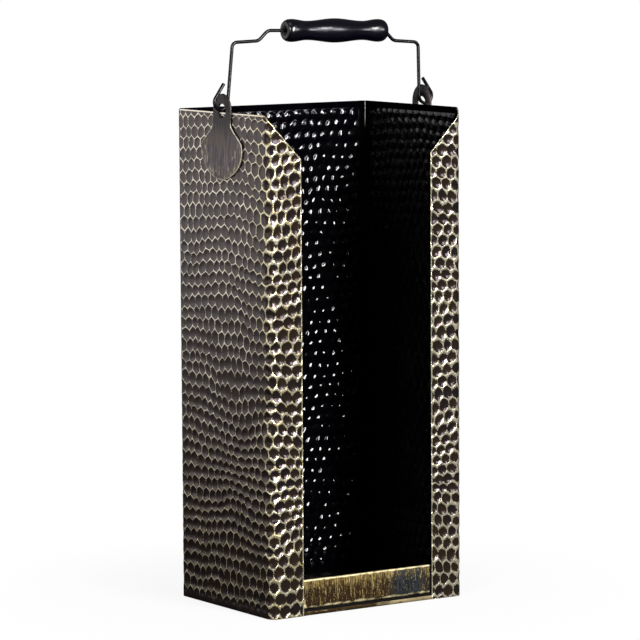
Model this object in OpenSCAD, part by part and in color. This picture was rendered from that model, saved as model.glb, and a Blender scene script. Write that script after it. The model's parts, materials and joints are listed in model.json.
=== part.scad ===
// Briquette carrier: a tall bin of folded sheet with an open front window, a low front lip, two
// spoon-shaped ears on the side walls and a wire bail with a turned grip.
// Millimetres. Origin at the centre of the bottom, on the ground. X right, Y back, Z up.

/* [Body] */
// Width across the side walls
body_w = 200; // [170:1:240]
// Depth from the front flanges to the back wall
body_d = 146; // [125:1:180]
// Height of the rim above the ground
body_h = 428; // [340:1:520]
// Thickness of the sheet
sheet_t = 1; // [0.8:0.1:1.4]
// Outside radius of the vertical bends
bend_r = 6.5; // [4:0.5:9]
// Width of each front flange
flange_w = 33; // [25:1:40]
// Height of a flange's slanted shoulder, from the window's corner up to the rim
shoulder_h = 38; // [25:1:55]
// Height of the folded hem inside the rim
hem_h = 5.5; // [4:0.5:12]
// Thickness that the folded hem adds inside the rim
hem_t = 0.8; // [0.5:0.1:1.2]

/* [Base] */
// Height of the floor's underside above the ground
foot_h = 5; // [3:0.5:12]
// Extra corner radius that keeps the floor off the inside of the bends
corner_clearance = 1.5; // [0.5:0.5:3]
// Height of the front lip above the floor
lip_h = 25; // [15:1:60]
// Length of lip behind each flange
lip_overlap = 20; // [8:1:24]
// Depth of the lip's foot, which lies on the floor
lip_foot = 12; // [6:1:20]
// Height of the fold along the lip's top edge
lip_fold_h = 4; // [2:0.5:8]

/* [Ears] */
// Thickness of an ear plate
ear_t = 1.5; // [1:0.1:2.5]
// Place of the left ear from front to back
ear_left_y = -3; // [-8:0.5:8]
// Place of the right ear from front to back
ear_right_y = -12.5; // [-13:0.5:3]
// Lean of the left ear about its eye, in degrees
ear_left_lean = 4; // [-8:1:8]
// Height of the eye's centre above the rim
eye_rise = 2; // [1.9:0.1:4]
// Diameter of the eye
eye_d = 13; // [10:0.5:15]
// Width of the neck, which is also the outside diameter of the ring round the eye
neck_w = 28; // [22:0.5:28]
// Radius of the spoon's lower edge
spoon_r = 31.7; // [28:0.1:36]
// Distance from the eye's centre down to the centre of the spoon's lower edge
spoon_drop = 28.2; // [25:0.1:40]
// Radius of the spoon's cheeks, where it turns in towards the neck
cheek_r = 12; // [8:0.5:16]
// Distance from the centre of the spoon's lower edge down to the cheeks' centres
cheek_drop = 4; // [0:0.5:8]
// Steepness of the slant from the cheeks to the neck, in degrees
slant = 48; // [40:1:60]
// Radius between the slant and the neck
neck_fillet_r = 9; // [4:0.5:14]

/* [Bail] */
// Diameter of the wire
wire_d = 3; // [2.6:0.1:3.2]
// Radius of a hook, to the middle of the wire
hook_r = 6.5; // [6.2:0.1:7.5]
// Distance of the hooks' centres outside the ears, with the bail centred
hook_out = 2.3; // [1.8:0.1:2.5]
// Slide of the hooks to the right in the ears
hook_slide = 1.2; // [-1.2:0.1:1.2]
// Height of a hook's cut end above the hook's centre
tip_rise = 15.6; // [15.2:0.1:18]
// Gap between a hook's cut end and its leg
tip_gap = 0.7; // [0.5:0.1:1.2]
// Height of the straight top run above the eyes
top_rise = 64.8; // [55:0.1:90]
// Slide of the top of the bail to the right
top_slide = 3.5; // [-4:0.1:4]
// Tilt of the top of the bail, in degrees
top_tilt = -1.3; // [-2:0.1:2]
// Length of the top run between its bends
top_run = 117.8; // [112:0.1:124]
// Length of the bail between the feet of the joggles
foot_run = 136; // [132:0.1:144]
// Depth of the joggles
joggle_h = 8.8; // [6:0.1:12]
// Length of the bail between its shoulders
shoulder_run = 187.4; // [182:0.1:190]
// Depth of the shoulders below the top run
shoulder_below = 10.2; // [8:0.1:14]
// Bend radius of the shoulders, to the middle of the wire
shoulder_r = 5; // [3.5:0.5:8]
// Bend radius of the joggles, to the middle of the wire
joggle_r = 8; // [5:0.5:9]

/* [Grip] */
// Length of the grip
grip_len = 101; // [90:1:104]
// Slide of the grip to the right along the top run
grip_slide = 8; // [-8:0.1:8]
// Largest radius at the middle
bulge_r = 10.5; // [9:0.1:13]
// Smallest radius, at the two waists
waist_r = 8.3; // [6.5:0.1:9]
// Distance of each waist from the middle
waist_at = 28.3; // [22:0.1:34]
// Radius of the two end beads
bead_r = 9.9; // [8.5:0.1:12]
// Distance of each bead from the middle
bead_at = 44; // [38:0.1:44.5]
// Radius of the flat end faces
end_r = 6; // [5:0.1:7]
// Radial clearance of the bore round the wire
bore_clearance = 0.3; // [0.1:0.05:0.6]
// Radius of the bore's mouth at each end
mouth_r = 4.2; // [3:0.1:4.8]
// Depth of the flared mouth at each end
mouth_depth = 6; // [3:0.5:10]

/* [Hidden] */

// Number of sides drawn on a round
round_fn = 64;
// Overshoot of a cut past the face it opens
over = 1;

window_x = body_w / 2 - flange_w;
inner_w = body_w - 2 * sheet_t;
inner_d = body_d - 2 * sheet_t;
inner_r = bend_r - sheet_t;
floor_z = foot_h + sheet_t;
front_y = -body_d / 2 + sheet_t;

eye_z = body_h + eye_rise;
ear_x = (body_w + ear_t) / 2;
skew = atan2(ear_right_y - ear_left_y, 2 * ear_x);
half_span = ear_x / cos(skew);

neck_x = neck_w / 2;
cheek_x = sqrt(pow(spoon_r - cheek_r, 2) - pow(cheek_drop, 2));
cheek_z = -spoon_drop - cheek_drop;
spoon_top = cheek_z - cheek_r * cheek_drop / (spoon_r - cheek_r);
slant_normal = [sin(slant), cos(slant)];
slant_start = [cheek_x, cheek_z] + cheek_r * slant_normal;
fillet_x = neck_x + neck_fillet_r;
fillet_z = slant_start.y
    + (neck_fillet_r - (fillet_x - slant_start.x) * slant_normal.x) / slant_normal.y;
fillet_touch = [fillet_x, fillet_z] - neck_fillet_r * slant_normal;

// Points of the bail lie in its own plane: x along the line through the eyes, y up from it
function unit(v) = v / norm(v);
function heading(v) = atan2(v.y, v.x);
function turned(p, a) = [p.x * cos(a) - p.y * sin(a), p.x * sin(a) + p.y * cos(a)];
// Direction from a circle's centre to where a line from p touches it
function touch(p, c, r, side) = heading(p - c) + side * acos(r / norm(p - c));
function on_circle(c, r, a) = c + r * [cos(a), sin(a)];
function top_point(x, y) = [top_slide, top_rise] + turned([x, y], top_tilt);
// Centre of a hook, such that the wire crosses the eye's middle; side is -1 left, 1 right
function hook_x(side) = side * (half_span + hook_out) + hook_slide;
function hook_centre(side) =
    [hook_x(side), sqrt(pow(hook_r, 2) - pow(hook_x(side) - side * half_span, 2))];
function shoulder(side) = top_point(side * shoulder_run / 2, -shoulder_below);
function leg_angle(side) = touch(shoulder(side), hook_centre(side), hook_r, side);
function leg_foot(side) = on_circle(hook_centre(side), hook_r, leg_angle(side));
function tip(side) =
    hook_centre(side) + [-side * (hook_r - wire_d - tip_gap), tip_rise];
function tip_angle(side) = touch(tip(side), hook_centre(side), hook_r, -side);
function tip_foot(side) = on_circle(hook_centre(side), hook_r, tip_angle(side));
// Angle through which the wire goes round a hook, below its centre
function hook_sweep(side) =
    side > 0 ? 360 - (leg_angle(side) - tip_angle(side)) : 360 - (tip_angle(side) - leg_angle(side));
function hook_start(side) = side > 0 ? leg_angle(side) : tip_angle(side);

bail_run = [
    leg_foot(-1),
    shoulder(-1),
    top_point(-foot_run / 2, -joggle_h),
    top_point(-top_run / 2, 0),
    top_point(top_run / 2, 0),
    top_point(foot_run / 2, -joggle_h),
    shoulder(1),
    leg_foot(1)
];
bail_bends = [0, shoulder_r, joggle_r, joggle_r, joggle_r, joggle_r, shoulder_r, 0];

// Half the angle between the two runs that meet at point i
function half_angle(i) =
    acos(unit(bail_run[i - 1] - bail_run[i]) * unit(bail_run[i + 1] - bail_run[i])) / 2;
// Length that the bend at point i takes from each run
function bend_cut(i) = bail_bends[i] == 0 ? 0 : bail_bends[i] / tan(half_angle(i));
function run_start(i) =
    bail_run[i] + bend_cut(i) * unit(bail_run[i + 1] - bail_run[i]);
function run_end(i) =
    bail_run[i + 1] - bend_cut(i + 1) * unit(bail_run[i + 1] - bail_run[i]);
function bend_centre(i) =
    bail_run[i] + bail_bends[i] / sin(half_angle(i))
    * unit(unit(bail_run[i - 1] - bail_run[i]) + unit(bail_run[i + 1] - bail_run[i]));
function cross2(a, b) = a.x * b.y - a.y * b.x;
function bend_way(i) =
    sign(cross2(bail_run[i] - bail_run[i - 1], bail_run[i + 1] - bail_run[i]));

// How much thinner a straight run is than a bend, and how far it reaches into one, so they join up
run_bite = 0.02;

bore_r = wire_d / 2 + bore_clearance;
grip_half = grip_len / 2;
// Number of steps along each stretch of the grip's profile
profile_steps = 10;
function wave(t) = (1 - cos(180 * t)) / 2;
function grip_r(s) =
    s <= waist_at ? bulge_r + (waist_r - bulge_r) * wave(s / waist_at)
    : s <= bead_at ? waist_r + (bead_r - waist_r) * wave((s - waist_at) / (bead_at - waist_at))
    : end_r + (bead_r - end_r) * sqrt(max(0, 1 - pow((s - bead_at) / (grip_half - bead_at), 2)));
function stretch(from, to) =
    [for (k = [1 : profile_steps]) from + (to - from) * k / profile_steps];
half_stations = concat([0], stretch(0, waist_at), stretch(waist_at, bead_at),
    stretch(bead_at, grip_half));
grip_edge = concat(
    [for (k = [len(half_stations) - 1 : -1 : 1]) [grip_r(half_stations[k]), -half_stations[k]]],
    [for (s = half_stations) [grip_r(s), s]]);

echo(skew_deg = skew, pivot = [0, (ear_left_y + ear_right_y) / 2, eye_z]);
echo(top_middle = in_bail([top_slide, top_rise]), tip_left = tip(-1), tip_right = tip(1));
echo(top_axis = [cos(skew) * cos(top_tilt), sin(skew) * cos(top_tilt), sin(top_tilt)]);
function in_bail(p) =
    [p.x * cos(skew), (ear_left_y + ear_right_y) / 2 + p.x * sin(skew), eye_z + p.y];

// Rectangle with round corners, centred
module rounded_rectangle(w, d, r) {
    square([w - 2 * r, d], center = true);
    square([w, d - 2 * r], center = true);
    for (x = [-1, 1], y = [-1, 1]) {
        translate([x * (w / 2 - r), y * (d / 2 - r)]) circle(r = r, $fn = round_fn);
    }
}

// Band of thickness t inside a rounded rectangle
module band(w, d, r, t) {
    difference() {
        rounded_rectangle(w, d, r);
        rounded_rectangle(w - 2 * t, d - 2 * t, r - t);
    }
}

// A shoulder is a straight line on the unfolded sheet, so it gets steeper as it goes round the bend.
// It is a chain of points here, from the window's corner to close below the rim.
sheet_run = flange_w - bend_r + bend_r * PI / 2;
shoulder_turns = [90 : -15 : 15];
function shoulder_point(turn) = [
    body_w / 2 - bend_r * (1 - cos(turn)),
    body_h - shoulder_h * bend_r * turn * PI / 180 / sheet_run
];
shoulder_edge = concat(
    [[window_x, body_h - shoulder_h]],
    [for (turn = shoulder_turns) shoulder_point(turn)],
    [[body_w / 2 + over, body_h + over]]);

// What is cut from one half of the front: the window and all above the slanted shoulder
module front_cut() {
    rotate([90, 0, 0]) translate([0, 0, body_d / 2 - bend_r]) linear_extrude(bend_r + over)
        polygon(concat([[-over, body_h + over], [-over, -over], [window_x, -over]], shoulder_edge));
}

module body_shell() {
    color("#4d4234") difference() {
        union() {
            linear_extrude(body_h) band(body_w, body_d, bend_r, sheet_t);
            translate([0, 0, body_h - hem_h]) linear_extrude(hem_h)
                band(inner_w, inner_d, inner_r, hem_t);
        }
        front_cut();
        mirror([1, 0, 0]) front_cut();
    }
}

module base_plate() {
    plate_r = inner_r + corner_clearance;
    color("#6b5836") {
        linear_extrude(foot_h) band(inner_w, inner_d, plate_r, sheet_t);
        translate([0, 0, foot_h]) linear_extrude(sheet_t)
            rounded_rectangle(inner_w, inner_d, plate_r);
    }
}

module front_lip() {
    lip_x = window_x + lip_overlap;
    color("#a08a52") translate([-lip_x, front_y, floor_z]) {
        cube([2 * lip_x, sheet_t, lip_h]);
        cube([2 * lip_x, lip_foot, sheet_t]);
        translate([0, 0, lip_h - lip_fold_h]) cube([2 * lip_x, 2 * sheet_t, lip_fold_h]);
    }
}

// Outline of an ear, with the eye's centre at the origin and the spoon hanging below it
module ear_outline() {
    difference() {
        union() {
            circle(r = neck_x, $fn = round_fn);
            polygon([
                [cheek_x, cheek_z],
                slant_start,
                fillet_touch,
                [neck_x, fillet_z],
                [neck_x, 0],
                [-neck_x, 0],
                [-neck_x, fillet_z],
                [-fillet_touch.x, fillet_touch.y],
                [-slant_start.x, slant_start.y],
                [-cheek_x, cheek_z]
            ]);
            for (side = [-1, 1]) {
                translate([side * cheek_x, cheek_z]) circle(r = cheek_r, $fn = round_fn);
            }
            intersection() {
                translate([0, -spoon_drop]) circle(r = spoon_r, $fn = round_fn);
                translate([-spoon_r, -spoon_drop - spoon_r - over])
                    square([2 * spoon_r, spoon_top + spoon_drop + spoon_r + over]);
            }
            translate([-cheek_x, spoon_top - over]) square([2 * cheek_x, cheek_z - spoon_top + over]);
        }
        circle(d = eye_d, $fn = round_fn);
        for (side = [-1, 1]) {
            translate([side * fillet_x, fillet_z]) circle(r = neck_fillet_r, $fn = round_fn);
        }
    }
}

// An ear flat against a side wall; side is -1 left, 1 right
module ear(side, y, lean) {
    color("#77685a") translate([side * body_w / 2, y, eye_z]) rotate([lean, 0, 0])
        rotate([90, 0, 90]) translate([0, 0, side > 0 ? 0 : -ear_t]) linear_extrude(ear_t)
            ear_outline();
}

module ear_left() {
    ear(-1, ear_left_y, ear_left_lean);
}

module ear_right() {
    ear(1, ear_right_y, 0);
}

// Stands the bail's plane upright through both eyes
module bail_frame() {
    translate([0, (ear_left_y + ear_right_y) / 2, eye_z]) rotate([0, 0, skew]) children();
}

// Straight wire between two points of the bail's plane
module wire_run(from, to) {
    translate([from.x, 0, from.y]) rotate([0, 90 - heading(to - from), 0])
        translate([0, 0, -run_bite])
            cylinder(h = norm(to - from) + 2 * run_bite, d = wire_d - run_bite, $fn = round_fn);
}

// Wire bent round a centre in the bail's plane
module wire_bend(centre, r, start, sweep) {
    translate([centre.x, 0, centre.y]) rotate([90, 0, 0]) rotate([0, 0, start])
        rotate_extrude(angle = sweep, $fn = 2 * round_fn)
            translate([r, 0]) circle(d = wire_d, $fn = round_fn);
}

module hook(side) {
    wire_bend(hook_centre(side), hook_r, hook_start(side), hook_sweep(side));
    wire_run(tip_foot(side), tip(side));
}

module bail_wire() {
    color("#2b2a2b") bail_frame() {
        hook(-1);
        hook(1);
        for (i = [0 : len(bail_run) - 2]) {
            wire_run(run_start(i), run_end(i));
        }
        for (i = [1 : len(bail_run) - 2]) {
            sweep = 180 - 2 * half_angle(i);
            first = heading(run_end(i - 1) - bend_centre(i));
            wire_bend(bend_centre(i), bail_bends[i], bend_way(i) > 0 ? first : first - sweep, sweep);
        }
    }
}

// The flared mouths stop short of the bore's middle, so the wire's bends stay clear of the grip
module grip() {
    middle = top_point(grip_slide, 0);
    color("#141214") bail_frame() translate([middle.x, 0, middle.y]) rotate([0, 90 - top_tilt, 0])
        difference() {
            rotate_extrude($fn = round_fn)
                polygon(concat([[0, -grip_half]], grip_edge, [[0, grip_half]]));
            translate([0, 0, -grip_half - over]) cylinder(h = grip_len + 2 * over, r = bore_r,
                $fn = round_fn);
            for (turn = [0, 180]) {
                rotate([turn, 0, 0]) translate([0, 0, grip_half - mouth_depth])
                    cylinder(h = mouth_depth, r1 = bore_r, r2 = mouth_r, $fn = round_fn);
            }
        }
}

body_shell();
base_plate();
front_lip();
ear_left();
ear_right();
bail_wire();
grip();
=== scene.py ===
import json
import math
import random

import bmesh
import bpy
from mathutils import Matrix, Vector, noise


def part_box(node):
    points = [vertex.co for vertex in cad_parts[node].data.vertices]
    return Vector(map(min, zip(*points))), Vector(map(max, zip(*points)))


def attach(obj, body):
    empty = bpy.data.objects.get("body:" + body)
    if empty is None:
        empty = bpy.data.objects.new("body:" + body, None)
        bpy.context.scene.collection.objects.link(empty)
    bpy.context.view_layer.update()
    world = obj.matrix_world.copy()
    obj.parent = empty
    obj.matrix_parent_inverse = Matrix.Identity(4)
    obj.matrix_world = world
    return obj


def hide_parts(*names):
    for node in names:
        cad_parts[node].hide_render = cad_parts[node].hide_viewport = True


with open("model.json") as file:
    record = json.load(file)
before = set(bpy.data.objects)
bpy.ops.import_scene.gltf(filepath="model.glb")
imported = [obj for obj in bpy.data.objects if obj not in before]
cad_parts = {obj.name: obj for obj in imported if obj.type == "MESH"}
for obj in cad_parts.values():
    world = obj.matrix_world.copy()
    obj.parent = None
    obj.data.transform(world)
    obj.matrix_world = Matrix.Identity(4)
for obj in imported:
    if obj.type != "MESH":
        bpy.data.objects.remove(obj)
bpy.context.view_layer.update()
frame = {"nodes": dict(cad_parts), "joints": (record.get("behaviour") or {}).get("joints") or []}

# Briquette carrier: one hammered sheet folded into a bin, a brushed lip and a floor inside it, two
# spoon-shaped ears, a wire bail and a turned grip. Metres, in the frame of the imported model.

MM = 0.001
joints = {joint["name"]: joint for joint in frame["joints"]}
SWING_AT = Vector(joints["bail_swing"]["pos_m"])
SWING_AXIS = Vector(joints["bail_swing"]["axis"])
GRIP_AXIS = Vector(joints["grip_spin"]["axis"])


# Camera, fitted to the photograph's 640 x 640 pixels

IMAGE_W = 640
FOCAL_PX = 3824.58
CAMERA_AT = Vector((-1.844995, -2.747227, 0.611899))
YAW = math.radians(33.8856)
PITCH = math.radians(6.3585)
ROLL = math.radians(-0.3350)


def add_camera():
    data = bpy.data.cameras.new("camera")
    data.sensor_width = 36
    data.lens = data.sensor_width * FOCAL_PX / IMAGE_W
    forward = Vector((math.sin(YAW) * math.cos(PITCH), math.cos(YAW) * math.cos(PITCH), -math.sin(PITCH)))
    level = Vector((math.cos(YAW), -math.sin(YAW), 0))
    upright = level.cross(forward)
    right = math.cos(ROLL) * level + math.sin(ROLL) * upright
    up = math.cos(ROLL) * upright - math.sin(ROLL) * level
    camera = bpy.data.objects.new("camera", data)
    bpy.context.scene.collection.objects.link(camera)
    turn = Matrix((right, up, -forward)).transposed().to_4x4()
    camera.matrix_world = Matrix.Translation(CAMERA_AT) @ turn
    bpy.context.scene.camera = camera


add_camera()


# Short ways to write materials


class Nodes:
    """The node tree of one new material."""

    def __init__(self, name):
        self.material = bpy.data.materials.new(name)
        self.material.use_nodes = True
        self.tree = self.material.node_tree
        self.shader = self.tree.nodes["Principled BSDF"]

    def feed(self, socket, value):
        if isinstance(value, bpy.types.NodeSocket):
            self.tree.links.new(value, socket)
        else:
            socket.default_value = value

    def add(self, kind, inputs, **settings):
        node = self.tree.nodes.new(kind)
        for key, value in settings.items():
            setattr(node, key, value)
        for key, value in inputs.items():
            self.feed(node.inputs[key], value)
        return node

    def place(self, stretch=(1, 1, 1)):
        """The piece's own coordinates in metres, each multiplied by stretch."""
        at = self.add("ShaderNodeTexCoord", {}).outputs["Object"]
        return self.add("ShaderNodeMapping", {"Vector": at, "Scale": stretch}).outputs["Vector"]

    def attribute(self, name):
        return self.add("ShaderNodeAttribute", {}, attribute_name=name).outputs["Fac"]

    def noise(self, scale, vector=None, detail=3, roughness=0.55):
        at = vector or self.place()
        inputs = {"Vector": at, "Scale": scale, "Detail": detail, "Roughness": roughness}
        return self.add("ShaderNodeTexNoise", inputs).outputs["Fac"]

    def ramp(self, value, low, high, to_low=0.0, to_high=1.0):
        inputs = {"Value": value, "From Min": low, "From Max": high, "To Min": to_low, "To Max": to_high}
        return self.add("ShaderNodeMapRange", inputs, interpolation_type="SMOOTHSTEP").outputs["Result"]

    def math(self, operation, a, b=0.0):
        return self.add("ShaderNodeMath", {0: a, 1: b}, operation=operation).outputs["Value"]

    def blend(self, factor, a, b):
        node = self.add("ShaderNodeMix", {"Factor": factor}, data_type="RGBA")
        self.feed(node.inputs[6], a)
        self.feed(node.inputs[7], b)
        return node.outputs[2]

    def bump(self, height, depth):
        """Bump from a height between 0 and 1, that deep in metres."""
        return self.add("ShaderNodeBump", {"Height": height, "Distance": depth}).outputs["Normal"]

    def finish(self, **inputs):
        for key, value in inputs.items():
            self.feed(self.shader.inputs[key.replace("_", " ")], value)
        return self.material


def rgb(red, green, blue):
    return (red, green, blue, 1.0)


# The sheet: a flat net, folded up

HALF_W, HALF_D, RIM_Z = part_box("body_shell")[1]
SHEET = 1.0 * MM
BEND_R = 6.5 * MM
FLANGE_W = 33 * MM
SHOULDER_H = 38 * MM
HEM_H = 5.5 * MM
HEM_T = 0.8 * MM
HEM_Z = RIM_Z - HEM_H

BEND_LEN = math.pi / 2 * BEND_R
FLANGE_FLAT = FLANGE_W - BEND_R
SIDE_FLAT = 2 * (HALF_D - BEND_R)
BACK_FLAT = 2 * (HALF_W - BEND_R)
FLATS = [FLANGE_FLAT, SIDE_FLAT, BACK_FLAT, SIDE_FLAT, FLANGE_FLAT]
STRETCHES = [BEND_LEN if k % 2 else FLATS[k // 2] for k in range(2 * len(FLATS) - 1)]
BREAKS = [sum(STRETCHES[:i]) for i in range(len(STRETCHES) + 1)]
NET_W = BREAKS[-1]
WALL_FROM = BREAKS[2]
WALL_TO = BREAKS[-3]
SHOULDER_RUN = FLANGE_FLAT + BEND_LEN
SHOULDER_SLOPE = SHOULDER_H / SHOULDER_RUN
SHOULDER_COS = 1 / math.hypot(1, SHOULDER_SLOPE)
FOLD_R = (SHEET + HEM_T) / 2
INNER_FOLD_R = 0.03 * MM
FOLD_Z = RIM_Z - FOLD_R
FOLD_LEN = math.pi * FOLD_R
NET_H = FOLD_Z + FOLD_LEN + HEM_H - FOLD_R

PITCH_ACROSS = 10.0 * MM
PITCH_UP = 9.8 * MM
ROW_RISE = 5.4 * MM
JITTER = 2.6 * MM
DISH_DEPTH = 1.15 * MM
BUMP_RISE = 1.7 * MM
EDGE_ROUND = 0.3 * MM
WEAR_W = 1.3 * MM
SNAP = 0.35 * MM


def legs():
    """Start, direction and kind of each stretch of the sheet's outer face, seen from above."""
    at = Vector((-(HALF_W - FLANGE_W), -HALF_D))
    heading = math.pi
    found = []
    for index, length in enumerate(STRETCHES):
        bent = index % 2 == 1
        found.append((BREAKS[index], at.copy(), heading, bent))
        if bent:
            right = Vector((math.sin(heading), -math.cos(heading)))
            centre = at + BEND_R * right
            heading -= math.pi / 2
            at = centre - BEND_R * Vector((math.sin(heading), -math.cos(heading)))
        else:
            at = at + length * Vector((math.cos(heading), math.sin(heading)))
    return found


LEGS = legs()


def plan_at(u):
    """Point on the outer face and outward direction, seen from above, at net distance u."""
    start, at, heading, bent = LEGS[0]
    for leg in LEGS:
        if leg[0] <= u:
            start, at, heading, bent = leg
    if bent:
        centre = at + BEND_R * Vector((math.sin(heading), -math.cos(heading)))
        turned = heading - (u - start) / BEND_R
        out = Vector((-math.sin(turned), math.cos(turned)))
        return centre + BEND_R * out, out
    out = Vector((-math.sin(heading), math.cos(heading)))
    return at + (u - start) * Vector((math.cos(heading), math.sin(heading))), out


def fold_up(v, depth):
    """Depth and height at net height v: above the rim the sheet turns in and down as a hem."""
    if v <= FOLD_Z:
        return depth, v
    share = min(max(depth / SHEET, 0), 1)
    middle = FOLD_R + share * (SHEET + INNER_FOLD_R - FOLD_R)
    radius = FOLD_R + share * (INNER_FOLD_R - FOLD_R)
    turn = min((v - FOLD_Z) / FOLD_R, math.pi)
    down = max(v - FOLD_Z - FOLD_LEN, 0)
    return middle - radius * math.cos(turn), FOLD_Z + radius * math.sin(turn) - down


def place(u, v, depth):
    at, out = plan_at(u)
    inward, height = fold_up(v, depth)
    at = at - inward * out
    return Vector((at.x, at.y, height))


def on_flange(u):
    return u < WALL_FROM or u > WALL_TO


def from_window(u):
    """Distance of u from the nearer front edge of the sheet."""
    return min(u, NET_W - u)


def shoulder_z(u):
    """Height of a flange's shoulder: a straight line across the flat sheet, up to the rim."""
    return RIM_Z - (SHOULDER_RUN - from_window(u)) * SHOULDER_SLOPE


def top_of(u):
    return shoulder_z(u) if on_flange(u) else NET_H


def smooth(value, low, high):
    t = min(max((value - low) / (high - low), 0), 1)
    return t * t * (3 - 2 * t)


def flange_edge(u, v):
    """Distance to the nearest cut edge of a front flange."""
    return min(from_window(u), (shoulder_z(u) - v) * SHOULDER_COS, v)


FAR_BENDS = [(BREAKS[k] + BREAKS[k + 1]) / 2 for k in (3, 5, 7)]


def outside_share(u, v):
    """How deep the dishes are outside, from 0 to 1; shallow on the bends that show in outline."""
    if on_flange(u):
        share = 0.7 + 0.3 * smooth(flange_edge(u, v), 0, 2.5 * MM)
        if u < NET_W / 2:
            share *= 1 - 0.4 * smooth(v, 220 * MM, 320 * MM)
    else:
        share = smooth(v, 4.5 * MM, 8 * MM) * (1 - smooth(v, RIM_Z - 4 * MM, RIM_Z - 1.5 * MM))
        share *= 1 - 0.62 * smooth(v, 90 * MM, 240 * MM)
    off_bend = min(abs(u - middle) for middle in FAR_BENDS)
    return share * (0.4 + 0.6 * smooth(off_bend, BEND_LEN / 2, BEND_LEN))


LIP_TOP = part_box("front_lip")[1].z


def inner_corner(u):
    """1 along the inside of the far bends, where painted shade goes, 0 elsewhere."""
    return 1 - smooth(min(abs(u - middle) for middle in FAR_BENDS), 0.6 * BEND_LEN, BEND_LEN)


def glint_line_share(u):
    """1 along the middle of the back right bend, where a pale line is painted on as a highlight, 0
    elsewhere.
    """
    return 1.0 if abs(u - FAR_BENDS[1]) < 0.1 * MM else 0.0


def inside_share(u, v):
    """How far the dishes stand out inside; flat behind the hem, at the floor and at the lip."""
    if on_flange(u):
        edge = min(from_window(u), (shoulder_z(u) - v) * SHOULDER_COS)
        return smooth(v, LIP_TOP + 2 * MM, LIP_TOP + 5 * MM) * smooth(edge, 0, 3 * MM)
    return smooth(v, 8.5 * MM, 12 * MM) * (1 - smooth(v, HEM_Z - 2.5 * MM, HEM_Z - 0.5 * MM))


# Where the rows of marks swell up or dip on a side wall: (behind its front bend, up, across, high, lift)
SWELLS = [
    (56 * MM, 350 * MM, 52 * MM, 66 * MM, 8 * MM),
    (44 * MM, 262 * MM, 55 * MM, 26 * MM, 2.5 * MM),
    (44 * MM, 165 * MM, 34 * MM, 30 * MM, -5.5 * MM),
    (52 * MM, 66 * MM, 44 * MM, 42 * MM, 8 * MM),
    (120 * MM, 190 * MM, 40 * MM, 60 * MM, 4 * MM),
]


# Waves that shift the marks: (how far, length across, length up, place in the noise)
LIFT_WAVES = [(3.5 * MM, 70 * MM, 90 * MM, 3.1), (1.4 * MM, 32 * MM, 40 * MM, 8.7)]
SHIFT_WAVES = [(3.2 * MM, 60 * MM, 35 * MM, 15.2), (1.5 * MM, 24 * MM, 20 * MM, 5.6)]
SEAM_WAVES = [(0.75, 35 * MM, 20 * MM, 21.4)]


def waves(kinds, u, v):
    return sum(far * noise.noise(Vector((u / across, v / up, depth))) for far, across, up, depth in kinds)


def sway(u, v):
    """The rows of hammer marks wander up and down, and the marks crowd and spread."""
    lift = waves(LIFT_WAVES, u, v) * (1 - 0.75 * smooth(v, 380 * MM, 420 * MM))
    behind = min(abs(u - WALL_FROM), abs(WALL_TO - u))
    for at, up, across, high, rise in SWELLS:
        lift += rise * math.exp(-(((behind - at) / across) ** 2) - ((v - up) / high) ** 2)
    return Vector((u + waves(SHIFT_WAVES, u, v), v + lift, 0))


def seam_strength(u, v):
    """How sharp the ridge is between two marks of a row: in places they run together."""
    flange = 0.38 + 0.26 * smooth(v, 150 * MM, 300 * MM)
    wall = 0.44 + 0.2 * smooth(v, 290 * MM, 380 * MM)
    return (flange if on_flange(u) else wall) + waves(SEAM_WAVES, u, v)


# Border of a mark: the ridge between two rows, and how far a blurred ridge sinks
ROW_RIDGE = 0.9
SEAM_SINK = 0.55
# Outer ring by where the mark is: (rubbed share of its ridge, depth, share of the way to the border)
WALL_MARK = (0.06, 1.0, 0.84)
FLANGE_MARK = (0.42, 1.3, 0.83)
BEND_MARK = (0.58, 1.45, 0.81)
# Rings of a mark: how round they are, and their share of its depth
OUTER_ROUND, OUTER_DEEP = 0.45, 0.31
INNER_SHARE, INNER_ROUND, INNER_DEEP = 0.46, 0.9, 0.75


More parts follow.
